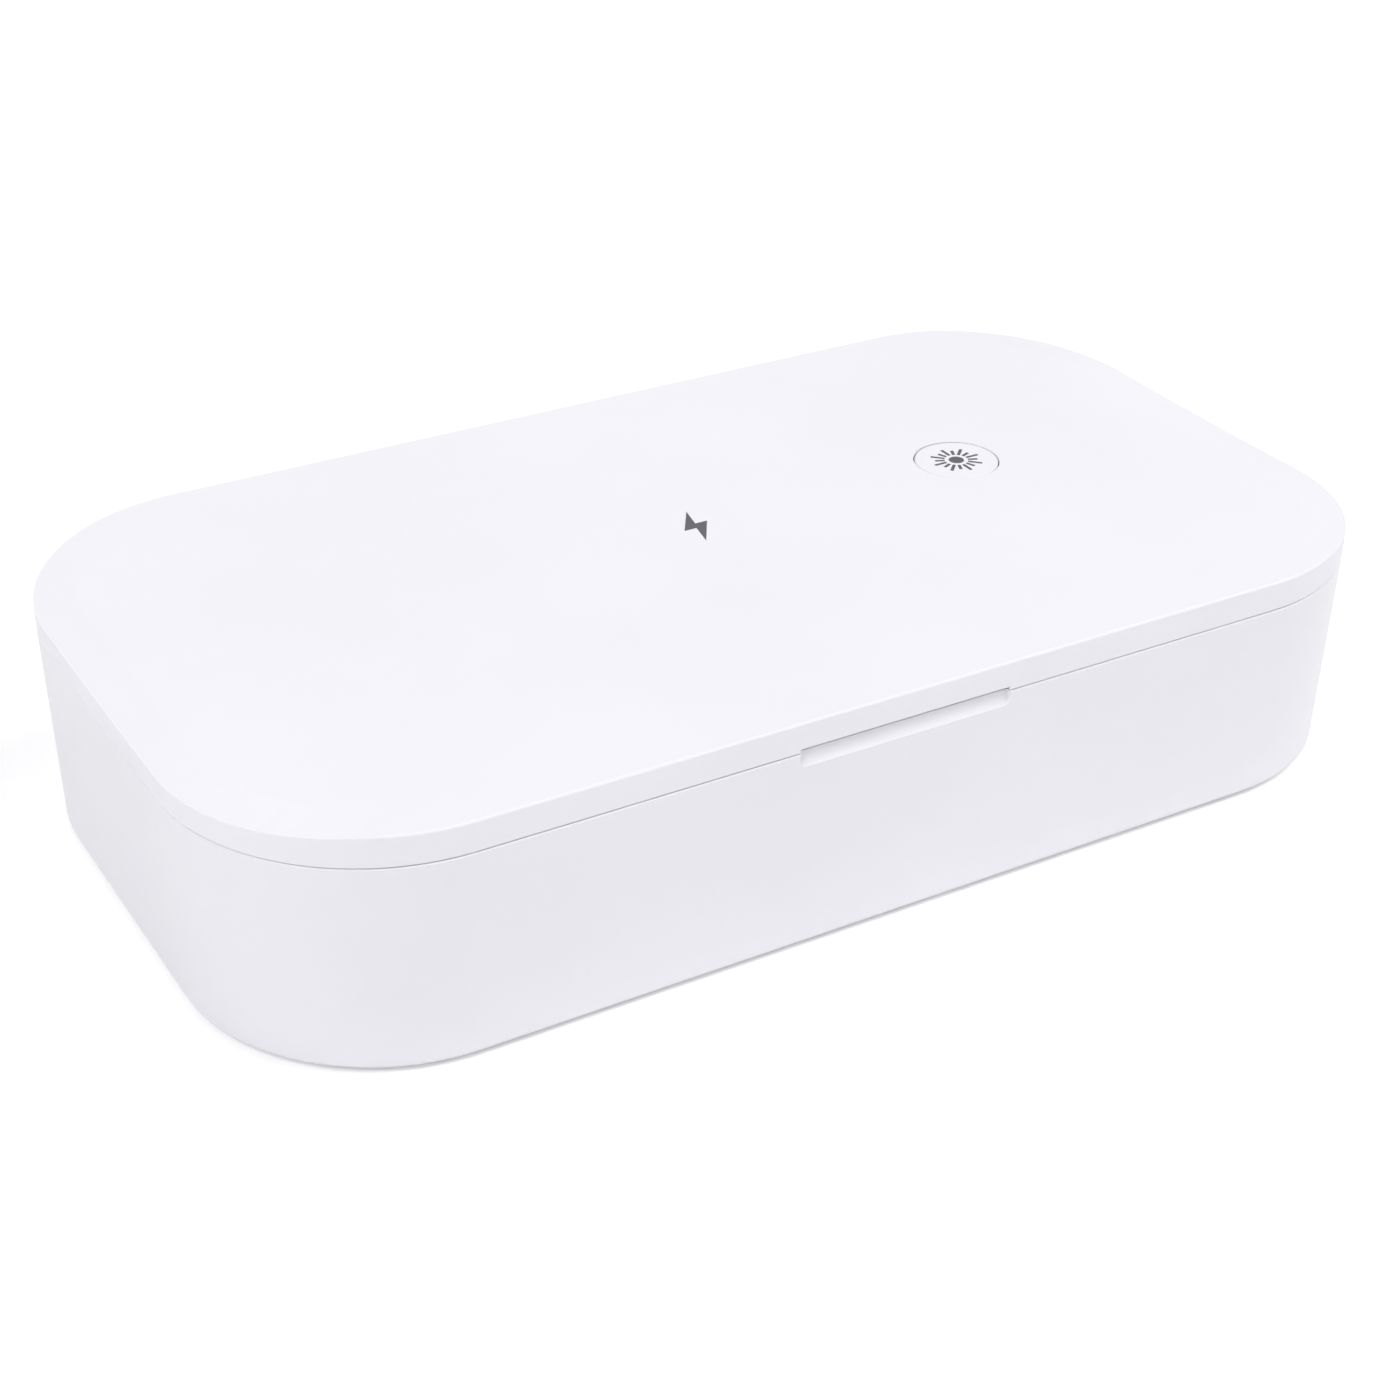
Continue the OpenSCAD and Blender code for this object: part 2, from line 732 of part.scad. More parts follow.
// Small upright board with the switch that reads the lid's magnet
module lid_sensor() {
    color("#2f6b48") translate([sensor_x, sensor_y, sensor_z]) {
        cube(sensor_board, center = true);
        translate([0, (sensor_board.y + sensor_switch.y) / 2 - 2 * seat, 4.6])
            cube(sensor_switch, center = true);
    }
}

// Routes of the leads: the two at the hinge start on the hinge line and are measured from it
sensor_route = [[66, -53.64, 20.6], [66, -53.64, 16], [65.6, -53.2, 12], [64, -51.6, 8], [60, -48, 5.4],
                [54, -36, 4.4], [46, -14, 4.2], [40, 6, 4.6], [33, 18, 6.4], [27, 25, 8.4],
                [22.4, 28.4, 9], [21, 29.8, 9], [21, 30.7, 9]];
lamp_route = [[-21, 30.7, 9], [-21, 29.8, 9], [-22.2, 28, 8.6], [-25, 25, 7.4], [-30, 20, 6],
              [-38, 12, 5.2], [-46, 5, 5.2], [-50.5, 1.2, 6], [-52, 0, 7.2], [-52, 0, 8.5]];
hinge_route = [[0, 0, 0], [5, 0, 0], [8, 0, 0], [9.4, -0.4, -0.4], [10.6, -1.2, -1.6], [11, -2.2, -3.6],
               [11, -2.8, -7], [11, -3, -14], [11, -3.2, -20], [11, -3.9, -23.4], [11, -5.1, -25],
               [11, -5.5, -26], [11, -5.5, -26.8]];
lid_route = [[0, 0, 0], [-5, 0, 0], [-8, 0, 0], [-9.4, -0.6, 0.4], [-10.6, -1.8, 1.2], [-11, -3.4, 1.9],
             [-11, -6, 2], [-11, -9, 1.9], [-11, -11, 0.9], [-11, -13.5, -0.9], [-11, -17, -1.5],
             [-11, -30, -1.5], [-11, -36, -1], [-11, -40.6, -0.8]];
coil_route = [[23.1, 4.7, 39.4], [25, 4.7, 39.2], [27.2, 4.7, 38.4], [28.6, 4.7, 37.4], [29, 4.7, 36.4]];

module sensor_lead() {
    color("#33363a") lead(sensor_route, 1, [1, 0, 0]);
}

module lamp_lead() {
    color("#b23a34") lead(lamp_route, 1.6);
}

module hinge_lead_base() {
    color("#e4e3e8") translate([0.05, hinge_y, hinge_z]) lead(hinge_route, lead_d);
}

module hinge_lead_lid() {
    color("#e4e3e8") translate([-0.05, hinge_y, hinge_z]) lead(lid_route, lead_d);
}

module coil_lead() {
    color("#b5763a") lead(coil_route, 0.9);
}

module hinge_pins() {
    color("#b9bdc2") for (s = [-1, 1])
        on_hinge_line(s * hinge_x - hinge_l / 2 + pin_set, s * hinge_x + hinge_l / 2 - pin_set,
                      pin_d / 2);
}

module chamber_seal() {
    color("#c9c8cd") translate([0, 0, flange_z]) linear_extrude(seal_t) difference() {
        outline(seal_in);
        outline(seal_in + seal_w);
    }
}

module tray_screws() {
    color("#9aa0a6") four_times(foot_at)
        screw_up(tray_seat_z, tray_screw_d, tray_head, well_z - tray_skin - tip_gap - tray_seat_z);
}

module rubber_feet() {
    r = foot_d / 2;
    chamfer = 0.4;
    top = floor_z + foot_set - seat;
    color("#77797d") four_times(foot_at) rotate_extrude()
        polygon([[0, 0], [r - chamfer, 0], [r, chamfer], [r, top], [0, top]]);
}

// ---------------------------------------------------------------- lid

// Points along an end of the box at the same bearings for every inset, so that a facet
// between two such lines is straight from its inner line to its outer edge
facet_end_bearing = asin((body_w / 2 - facet_run_out - core_w / 2) / corner_r);
function end_line(in_end, in_side, steps = 8) =
    let (r = corner_r - in_side, c = [body_l / 2 - in_end - r, body_w / 2 - in_side - r])
    concat(
        arc([c.x, -c.y], r, -facet_end_bearing, 0, steps),
        [for (k = [1 - steps:steps - 1]) [c.x + r, c.y * k / steps]],
        arc(c, r, 0, facet_end_bearing, steps));

// What is cut off an end of the lid: it falls away from the inner line, most at the middle,
// and runs out to nothing in the corners
module end_facet() {
    reach = 1.3;    // how far the cut runs past the outer edge, as a share of the facet
    inner = end_line(facet_w, facet_side);
    outer = end_line(0, 0);
    n = len(inner);
    last = outer[n - 1].y;
    drop = [for (p = outer) facet_drop * pow(max(0, 1 - pow(p.y / last, 2)), facet_fade)];
    far = [for (i = [0:n - 1]) inner[i] + reach * (outer[i] - inner[i])];
    points = concat(
        [for (p = inner) [p.x, p.y, top_z]],
        [for (i = [0:n - 1]) [far[i].x, far[i].y, top_z - reach * drop[i]]],
        [for (p = far) [p.x, p.y, top_z + cut]],
        [for (p = inner) [p.x, p.y, top_z + cut]]);
    faces = concat(
        [for (s = [0:3], i = [0:n - 2]) let (a = s * n + i, b = (s + 1) % 4 * n + i)
            each [[a, a + 1, b], [a + 1, b + 1, b]]],
        [[3 * n, 2 * n, n, 0], [n - 1, 2 * n - 1, 3 * n - 1, 4 * n - 1]]);
    polyhedron(points, faces);
}

module lid_rail(x, half) {
    box_from([x - half, rail_y, rim_z], [x + half, body_w / 2 - wall_root, ceiling_z + sink]);
}

// Section of the lid with its rounded edges
module lid_edge() {
    polygon(concat(
        [[0, rim_z]], arc([corner_r - seam_round, rim_z + seam_round], seam_round, -90, 0, 4),
        arc([corner_r - top_round, top_z - top_round], top_round, 0, 90, 4), [[0, top_z]]));
}

// The lid as a plain cap: its outer form, hollowed from below
module lid_cap() {
    difference() {
        union() {
            round_the_box() lid_edge();
            middle(rim_z, lid_h);
        }
        for (turn = [0, 180])
            rotate(turn) end_facet();
        plate(shell_wall, rim_z - cut, lid_h - lid_top_t + cut);
    }
}

module lid_body() {
    collar_d = button_flange_d + 2 * collar_gap;
    difference() {
        union() {
            lid_cap();
            for (s = [-1, 1])
                lid_rail(s * hinge_x, hinge_l / 2 + rail_side);
            lid_rail(0, lead_rail_half);
            at_lid_screws() translate([0, 0, cover_floor_z + seat])
                cylinder(d = lid_boss_d, h = ceiling_z - cover_floor_z + sink);
            translate([0, lid_board_y, lid_board_top]) four_times(lid_board_hole)
                cylinder(d = board_post_d, h = ceiling_z - lid_board_top + sink);
            translate([button_x, button_y, ceiling_z - collar_h])
                cylinder(d = collar_d + 2 * collar_t, h = collar_h + sink);
            coil_ring();
            lid_ribs();
        }
        hinge_relief();
        for (s = [-1, 1], e = [-1, 1])
            outer_knuckle(s * hinge_x, e, 0, end_gap, knuckle_r + swing_gap);
        on_hinge_line(lead_knuckle_l / 2, lead_reach, knuckle_r + swing_gap);
        lead_slot_lid();
        finger_notch();
        translate([button_x, button_y, ceiling_z - cut]) {
            cylinder(d = button_d + 2 * button_gap, h = lid_top_t + 2 * cut);
            translate([0, 0, -collar_h]) cylinder(d = collar_d, h = collar_h + cut);
        }
        at_lid_screws() translate([0, 0, cover_floor_z - cut])
            cylinder(d = lid_screw_d + 2 * screw_fit, h = lid_screw_l + cut);
        translate([0, lid_board_y, lid_board_top - cut]) four_times(lid_board_hole)
            cylinder(d = board_screw_d + 2 * screw_fit, h = board_hole_depth + cut);
    }
}

module lid_shell() {
    color("#f5f4f9") difference() {
        union() {
            lid_body();
            for (s = [-1, 1])
                on_hinge_line(s * hinge_x - hinge_mid / 2, s * hinge_x + hinge_mid / 2, knuckle_r);
            on_hinge_line(-lead_knuckle_l / 2, lead_knuckle_l / 2, knuckle_r);
        }
        for (s = [-1, 1])
            on_hinge_line(s * hinge_x - hinge_mid, s * hinge_x + hinge_mid, pin_d / 2 + pin_run);
        on_hinge_line(-lead_knuckle_l / 2 - cut, lead_knuckle_l / 2 + cut, lead_bore_d / 2);
    }
}

module at_lid_screws() {
    four_times(lid_screw_at) children();
    for (s = [-1, 1])
        translate([0, s * lid_screw_mid_y]) children();
}

// Ring that locates the charging coil, open where the coil's lead leaves
module coil_ring() {
    inner_d = coil_d + 2 * coil_gap;
    translate([0, coil_y, ceiling_z - coil_ring_h]) difference() {
        cylinder(d = inner_d + 2 * coil_ring_t, h = coil_ring_h + seat);
        translate([0, 0, -cut]) cylinder(d = inner_d, h = coil_ring_h + 2 * cut);
        translate([coil_d / 2 - cut, -1, -cut]) cube([coil_ring_t + 2 * cut, 2, coil_ring_h + cut]);
    }
}

// Low ribs that stiffen the lid's top plate
module lid_ribs() {
    rib_h = 1.2;
    side_y = body_w / 2 - 24;
    end_x = body_l / 2 - 14;
    long = [core_l + 12, rib_t];
    short = [rib_t, core_w];
    translate([0, 0, ceiling_z - rib_h]) linear_extrude(rib_h + seat)
        for (s = [-1, 1]) {
            translate([0, s * side_y]) square(long, center = true);
            translate([s * end_x, 0]) square(short, center = true);
        }
}

module lead_slot_lid() {
    box_from([-lead_reach, rail_y - cut, rim_z - cut],
             [-lead_knuckle_l / 2, hinge_y + lead_d / 2 + lead_clear, ceiling_z - 0.1]);
}

// Section of the inner cover's wall and flange
module cover_wall() {
    out_x = corner_r - cover_in;
    in_x = out_x - cover_t;
    out_r = cover_round + cover_t;
    flange_x = corner_r - shell_wall - fit;
    flange_top = cover_z + cover_flange_t;
    polygon(concat(
        [[0, cover_low_z]], arc([out_x - out_r, cover_low_z + out_r], out_r, -90, 0, 6),
        [[out_x, cover_z], [flange_x, cover_z], [flange_x, flange_top], [in_x, flange_top]],
        arc([in_x - cover_round, cover_floor_z + cover_round], cover_round, 0, -90, 6),
        [[0, cover_floor_z]]));
}

module lid_panel() {
    color("#e9e8ec") difference() {
        union() {
            round_the_box() cover_wall();
            middle(cover_low_z, cover_t);
        }
        rail_notches(cover_z - cut, top_z);
        // passage of the lead over the cover's edge
        box_from([-lead_reach, 0, hinge_z + 2 - lead_d / 2 - lead_clear],
                 [-lead_out + lead_d / 2 + lead_clear, body_w / 2, top_z]);
        for (x = lamp_xs)
            translate([x, 0, cover_low_z]) {
                translate([0, 0, -cut]) cylinder(d = window_d + fit, h = window_t + cut + seat);
                cylinder(d = window_d - 2 * window_lip, h = cover_t + cut);
            }
        at_lid_screws() lid_screw_hole();
    }
}

module lid_screw_hole() {
    translate([0, 0, cover_low_z - cut]) cylinder(d = lid_head[0] + 2 * fit, h = lid_head_set + cut);
    translate([0, 0, cover_low_z]) cylinder(d = lid_screw_d + 2 * screw_pass, h = cover_t + cut);
}

module lid_reflector() {
    color("#d5d8dc") difference() {
        plate(cover_in + cover_t + cover_round + sheet_gap, cover_low_z - sheet_t, sheet_t);
        sheet_windows(cover_low_z - sheet_t);
        at_lid_screws() translate([0, 0, cover_low_z - cut])
            cylinder(d = lid_head[0] + 2 * fit, h = 2 * cut);
    }
}

module lid_lamp_windows() {
    color("#bcd3e6") lamp_discs(cover_low_z);
}

module lid_lamps() {
    color("#e6e2d3") for (x = lamp_xs)
        translate([x, 0, lid_board_z]) mirror([0, 0, 1]) lamp();
}

module lid_board() {
    color("#2f6b48") translate([0, lid_board_y, 0])
        board(lid_board_l, lid_board_w, lid_board_z, lid_board_hole);
}

module lid_board_screws() {
    color("#9aa0a6") translate([0, lid_board_y, 0]) four_times(lid_board_hole)
        screw_up(lid_board_z, board_screw_d, board_head, board_t + board_bite);
}

// Parts soldered on the lid board: charging controller, bridge parts and connectors
module lid_chips() {
    color("#3a3d42") translate([0, 0, lid_board_top]) {
        chip(-36, 4, [6, 6, 0.9]);
        for (y = [-2, 4, 10])
            chip(-46, y, [3, 3, 0.8]);
        for (x = [-58, -64])
            chip(x, 6, [3.2, 2.5, 1.4]);
        chip(-11, 15.4, [6, 3.6, 1.5]);
        chip(29, 4.7, [3, 5, 0.8]);
    }
}

module charging_coil() {
    color("#b5763a") translate([0, coil_y, ceiling_z - coil_t]) difference() {
        cylinder(d = coil_d, h = coil_t);
        translate([0, 0, -cut]) cylinder(d = coil_hole_d, h = coil_t + 2 * cut);
    }
}

module coil_shield() {
    color("#4b4d52") translate([0, coil_y, ceiling_z - coil_t - shield_t])
        cylinder(d = coil_d - 1, h = shield_t);
}

module lid_magnets() {
    color("#aeb2b8") for (s = [-1, 1])
        translate([s * magnet_x, magnet_y, cover_z + cover_flange_t + lid_magnet.z / 2])
            cube(lid_magnet, center = true);
}

module sensor_magnet() {
    color("#aeb2b8") translate([sensor_x, magnet_y, cover_z + cover_flange_t])
        cylinder(d = sensor_magnet_d, h = lid_magnet.z);
}

module lid_screws() {
    color("#9aa0a6") at_lid_screws()
        screw_up(cover_low_z + lid_head_set, lid_screw_d, lid_head, lid_screw_l);
}

// Status light beside the switch, under the button cap
module button_light() {
    size = [2, 1.25, 0.8];
    color("#f0ead0") translate([button_x + 6, button_y, lid_board_top + size.z / 2])
        cube(size, center = true);
}

module tact_switch() {
    color("#2a2c2f") translate([button_x, button_y, lid_board_top]) difference() {
        translate([0, 0, tact_h / 2]) cube([tact_s, tact_s, tact_h], center = true);
        translate([0, 0, tact_floor]) cylinder(d = plunger_d + 2 * plunger_gap, h = tact_h);
    }
}

module tact_plunger() {
    low = lid_board_top + tact_floor + button_travel + tact_spare;
    color("#d8d8d8") translate([button_x, button_y, low])
        cylinder(d = plunger_d, h = plunger_z - low);
}

// The cap with its flange under the lid, and the stem that presses the switch
module power_button() {
    cap_r = button_d / 2;
    flange_r = button_flange_d / 2;
    flange_top = ceiling_z - flange_gap;
    flange_low = flange_top - button_flange_t;
    stem_low = plunger_z + seat;
    color("#f7f6fb") translate([button_x, button_y, 0]) rotate_extrude()
        polygon(concat(
            [[0, stem_low], [stem_d / 2, stem_low], [stem_d / 2, flange_low], [flange_r, flange_low],
             [flange_r, flange_top], [cap_r, flange_top]],
            arc([cap_r - cap_round, top_z - cap_round], cap_round, 0, 90, 4), [[0, top_z]]));
}

base_shell();
chamber_tray();
tray_reflector();
tray_lamp_windows();
tray_lamps();
tray_lamp_board();
tray_board_screws();
control_board();
control_board_screws();
control_chips();
buzzer();
inlet_shell();
inlet_tongue();
base_magnets();
lid_sensor();
sensor_lead();
lamp_lead();
hinge_lead_base();
hinge_pins();
chamber_seal();
tray_screws();
rubber_feet();
lid_shell();
lid_panel();
lid_reflector();
lid_lamp_windows();
lid_lamps();
lid_board();
lid_board_screws();
lid_chips();
charging_coil();
coil_shield();
coil_lead();
lid_magnets();
sensor_magnet();
lid_screws();
button_light();
tact_switch();
tact_plunger();
power_button();
hinge_lead_lid();
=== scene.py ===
"""A sanitizer box for phones: the looks round its CAD frame. Lengths are in metres."""

import math

import bmesh
import bpy
from mathutils import Matrix, Vector
from mathutils.geometry import tessellate_polygon

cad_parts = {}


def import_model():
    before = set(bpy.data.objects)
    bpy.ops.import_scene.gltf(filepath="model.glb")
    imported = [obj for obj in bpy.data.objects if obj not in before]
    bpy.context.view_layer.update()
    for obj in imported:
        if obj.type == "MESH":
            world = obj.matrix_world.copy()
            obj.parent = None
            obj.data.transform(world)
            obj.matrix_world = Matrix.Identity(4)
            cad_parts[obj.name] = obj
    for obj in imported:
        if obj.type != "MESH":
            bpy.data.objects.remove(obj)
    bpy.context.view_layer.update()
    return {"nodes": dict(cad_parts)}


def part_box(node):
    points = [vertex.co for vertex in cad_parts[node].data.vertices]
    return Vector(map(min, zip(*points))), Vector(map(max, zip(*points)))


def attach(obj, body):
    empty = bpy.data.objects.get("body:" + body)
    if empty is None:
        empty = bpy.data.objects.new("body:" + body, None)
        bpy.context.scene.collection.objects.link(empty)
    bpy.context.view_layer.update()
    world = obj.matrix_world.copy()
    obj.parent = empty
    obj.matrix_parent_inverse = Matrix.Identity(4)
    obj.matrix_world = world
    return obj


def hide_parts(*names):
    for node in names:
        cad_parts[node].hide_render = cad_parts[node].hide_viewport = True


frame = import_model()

MM = 0.001
NODES = frame["nodes"]

# The photograph's camera. AIM stands off the middle of its picture by AIM_RIGHT and AIM_UP.
FRAME_PX = 1400
FOCAL_PX = 2583.8
SENSOR_MM = 36
AZIMUTH = math.radians(-30.743)
ELEVATION = math.radians(30.369)
ROLL = math.radians(0.76)
DISTANCE = 447.22 * MM
AIM = Vector((0, 0, 25.49 * MM))
AIM_RIGHT, AIM_UP = 1.522 * MM, 13.12 * MM
NEAR_CLIP = 10 * MM

# The studio. Each softbox is a name, a place and its watts.
FLOOR_REACH = 1.4
FLOOR_SET = 0.02 * MM
FLOOR_GLOW = 0.24
FLOOR_PATTERN = 0.2
FLOOR_TONES = ((0.93, 0.93, 0.94, 1), (0.95, 0.95, 0.96, 1))
WORLD_LIGHT = 0.3
SOFTBOX_SIZE = 2.0
SOFTBOX_AIM = Vector((0, 0, 0.02))
SOFTBOXES = [
    ("softbox_left", Vector((-1.78, -0.87, 2.26)), 43.5),
    ("softbox_right", Vector((1.78, -0.87, 2.26)), 42),
    ("softbox_back", Vector((0, 1.8, 2.4)), 6),
]

# Patterns in the materials
TONE_SIZE = 60 * MM
GLOSS_SIZE = 18 * MM
PLASTIC_GRAIN = 0.7 * MM
METAL_GRAIN = 0.4 * MM
FINE_PATTERN = 4 * MM
GRAIN_DEPTH = 0.002 * MM
BRUSHED = (0.04, 1, 1)
TRACK_FIELD = 9 * MM
TRACK_HEIGHT = 0.03 * MM
DOT_SPACING = 6 * MM
DOT_EDGE = (0.055, 0.07)

# The coil's windings. The first two are the CAD model's.
COIL_CENTRE = Vector((0, 4.7 * MM, 0))
COIL_HOLE = 19 * MM
COIL_TURNS = 11
TURN_STEPS = 6
TURN_GROOVE = 0.25 * MM

# The lid's screws, in millimetres: the CAD model's places, then (radius, height) points of the
# outline, first up from the head's face and then down from the tip.
SCREW_PLACES = [(84, 36), (-84, 36), (-84, -36), (84, -36), (0, 42), (0, -42)]
SCREW_HEAD = [(1.55, 0), (2.05, 0.12), (2.3, 0.45), (2.3, 0.8), (1.25, 0.8)]
SCREW_TIP = [(1.25, 0.6), (0.5, 0)]
CROSS_LENGTH, CROSS_WIDTH, CROSS_DEPTH = 2.2 * MM, 0.52 * MM, 0.5 * MM
CROSS_TAPER = 0.8

# The printed signs. The bolt's corners are in millimetres.
INK_LIFT = 0.01 * MM
INK_PATTERN = 0.6 * MM
SUN_RADIUS = 1.4 * MM
RAY_COUNT = 16
RAY_START, RAY_WIDTH = 2.15 * MM, 0.6 * MM
RAY_ENDS = (4.7 * MM, 3.9 * MM)
BOLT = [(1.3, 5.6), (-2.7, -0.7), (-0.35, -0.7), (-1.3, -5.6), (2.7, 0.9), (0.35, 0.9)]


# ---------------------------------------------------------------- materials

def linear(share):
    """The shader's number for a share of a screen's full level."""
    return share / 12.92 if share <= 0.04045 else ((share + 0.055) / 1.055) ** 2.4


def srgb(*levels):
    """A colour written as 0 to 255 levels, as the shader's linear numbers."""
    return tuple(linear(level / 255) for level in levels) + (1,)


def dimmed(colour, share):
    return tuple(part * share for part in colour[:3]) + (1,)


class Finish:
    """A node material round one Principled shader, with helpers for its patterns."""

    def __init__(self, name, **constants):
        self.material = bpy.data.materials.new(name)
        self.material.use_nodes = True
        self.tree = self.material.node_tree
        self.shader = self.tree.nodes["Principled BSDF"]
        for key, value in constants.items():
            socket = key.replace("_", " ").title().replace("Ior", "IOR")
            self.shader.inputs[socket].default_value = value
        self.place = self.add("ShaderNodeTexCoord").outputs["Object"]

    def add(self, kind, **settings):
        node = self.tree.nodes.new(kind)
        for key, value in settings.items():
            if key in node.inputs:
                node.inputs[key].default_value = value
            else:
                setattr(node, key, value)
        return node

    def link(self, output, socket):
        self.tree.links.new(output, socket)

    def noise(self, size, detail, stretch=(1, 1, 1)):
        """Noise whose features are about size across."""
        mapping = self.add("ShaderNodeMapping")
        mapping.inputs["Scale"].default_value = [part / size for part in stretch]
        self.link(self.place, mapping.inputs["Vector"])
        texture = self.add("ShaderNodeTexNoise", Scale=1.0, Detail=detail)
        self.link(mapping.outputs["Vector"], texture.inputs["Vector"])
        return texture.outputs["Fac"]

    def spread(self, value, low, high, start=0.3, end=0.7):
        """Maps a pattern's numbers from start to end to those from low to high."""
        ramp = self.add("ShaderNodeMapRange")
        ramp.inputs["From Min"].default_value = start
        ramp.inputs["From Max"].default_value = end
        ramp.inputs["To Min"].default_value = low
        ramp.inputs["To Max"].default_value = high
        self.link(value, ramp.inputs["Value"])
        return ramp.outputs["Result"]

    def blend(self, value, first, second):
        """Goes from the first colour to the second as the pattern goes from 0 to 1."""
        mix = self.add("ShaderNodeMix", data_type="RGBA")
        if isinstance(first, bpy.types.NodeSocket):
            self.link(first, mix.inputs["A"])
        else:
            mix.inputs["A"].default_value = first
        mix.inputs["B"].default_value = second
        self.link(value, mix.inputs["Factor"])
        return mix.outputs["Result"]

    def colour(self, value, first, second):
        self.link(self.blend(value, first, second), self.shader.inputs["Base Color"])

    def roughness(self, value, low, high):
        self.link(self.spread(value, low, high), self.shader.inputs["Roughness"])

    def bump(self, value, height):
        """Raises the surface by up to height where the pattern is 1."""
        node = self.add("ShaderNodeBump", Strength=1.0, Distance=height)
        self.link(value, node.inputs["Height"])
        self.link(node.outputs["Normal"], self.shader.inputs["Normal"])


def moulded(name, colour, rough, grain=PLASTIC_GRAIN, depth=GRAIN_DEPTH):
    """Moulded plastic: a fine grain, a slow change of tone and handled, uneven gloss."""
    finish = Finish(name, specular_ior_level=0.3)
    tone = finish.spread(finish.noise(TONE_SIZE, 3), 0, 1)
    finish.colour(tone, dimmed(colour, 0.97), colour)
    finish.roughness(finish.noise(GLOSS_SIZE, 4), *rough)
    finish.bump(finish.noise(grain, 2), depth)
    return finish.material


def metal(name, colour, rough, stretch=(1, 1, 1)):
    """Metal with fine marks, which a stretch draws out into brushed lines."""
    finish = Finish(name, metallic=1.0)
    lines = finish.noise(METAL_GRAIN, 3, stretch)
    finish.colour(lines, dimmed(colour, 0.86), colour)
    finish.roughness(lines, *rough)
    finish.bump(lines, GRAIN_DEPTH)
    return finish.material


def circuit(name):
    """Board lacquer over raised copper tracks, with tinned dots where they change layer."""
    finish = Finish(name, coat_weight=0.25, coat_roughness=0.15)
    tracks = finish.add("ShaderNodeTexBrick", Scale=1 / TRACK_FIELD, offset_frequency=3, squash=1.6)
    tracks.inputs["Mortar Size"].default_value = 0.035
    tracks.inputs["Mortar Smooth"].default_value = 0.2
    finish.link(finish.place, tracks.inputs["Vector"])
    dots = finish.add("ShaderNodeTexVoronoi", Scale=1 / DOT_SPACING, Randomness=0.8)
    finish.link(finish.place, dots.inputs["Vector"])
    tin = finish.spread(dots.outputs["Distance"], 1, 0, *DOT_EDGE)
    lacquer = finish.blend(tracks.outputs["Fac"], srgb(36, 88, 57), srgb(58, 122, 78))
    finish.colour(tin, lacquer, srgb(186, 186, 178))
    finish.link(tin, finish.shader.inputs["Metallic"])
    finish.roughness(finish.noise(FINE_PATTERN, 3), 0.3, 0.42)
    finish.bump(tracks.outputs["Fac"], TRACK_HEIGHT)
    return finish.material


def quartz():
    finish = Finish("quartz", transmission_weight=1.0, ior=1.46)
    finish.roughness(finish.noise(FINE_PATTERN, 2), 0.02, 0.06)
    return finish.material


def ink(name):
    finish = Finish(name)
    tone = finish.noise(INK_PATTERN, 3)
    finish.colour(finish.spread(tone, 0, 1), srgb(72, 71, 76), srgb(86, 85, 90))
    finish.roughness(tone, 0.42, 0.55)
    finish.bump(tone, GRAIN_DEPTH / 2)
    return finish.material


def paint(material, *nodes):
    for node in nodes:
        for slot in NODES[node].material_slots:
            slot.material = material


def plastics():
    paint(moulded("base_plastic", srgb(244, 243, 248), rough=(0.42, 0.52)), "base_shell")
    paint(moulded("lid_plastic", srgb(245, 244, 250), rough=(0.42, 0.5)), "lid_shell", "power_button")
    paint(moulded("tray_plastic", srgb(236, 236, 239), rough=(0.38, 0.5)), "chamber_tray", "lid_panel")
    paint(moulded("silicone", srgb(190, 190, 194), rough=(0.5, 0.65)), "chamber_seal")
    rubber = moulded("rubber", srgb(112, 113, 117), rough=(0.6, 0.8), grain=METAL_GRAIN, depth=0.01 * MM)
    paint(rubber, "rubber_feet")
    paint(moulded("black_sleeve", srgb(46, 47, 50), rough=(0.45, 0.6)), "sensor_lead")
    paint(moulded("red_sleeve", srgb(168, 52, 44), rough=(0.45, 0.6)), "lamp_lead")
    white = moulded("white_sleeve", srgb(226, 225, 229), rough=(0.45, 0.6))
    paint(white, "hinge_lead_base", "hinge_lead_lid", "tact_plunger")


def electronics():
    paint(circuit("board_lacquer"), "tray_lamp_board", "control_board", "lid_board", "lid_sensor")
    black = moulded("black_compound", srgb(42, 43, 46), rough=(0.5, 0.7))
    paint(black, "control_chips", "lid_chips", "tact_switch", "buzzer", "inlet_tongue", "coil_shield")
    ceramic = moulded("ceramic", srgb(236, 231, 214), rough=(0.3, 0.45))
    paint(ceramic, "tray_lamps", "lid_lamps", "button_light")
    paint(quartz(), "tray_lamp_windows", "lid_lamp_windows")


def metals():
    steel = metal("zinc_steel", srgb(190, 192, 196), rough=(0.25, 0.4))
    paint(steel, "tray_board_screws", "control_board_screws", "lid_board_screws", "tray_screws",
          "inlet_shell", "hinge_pins")
    nickel = metal("nickel", srgb(205, 204, 200), rough=(0.12, 0.24))
    paint(nickel, "base_magnets", "lid_magnets", "sensor_magnet")
    sheet = metal("aluminium_sheet", srgb(226, 228, 231), rough=(0.16, 0.3), stretch=BRUSHED)
    paint(sheet, "tray_reflector", "lid_reflector")
    paint(metal("copper", srgb(205, 130, 84), rough=(0.3, 0.42)), "coil_lead")


# ---------------------------------------------------------------- turned pieces

def circle(radius, steps):
    """Points round a circle, counterclockwise."""
    angles = [2 * math.pi * k / steps for k in range(steps)]
    return [(radius * math.cos(angle), radius * math.sin(angle)) for angle in angles]


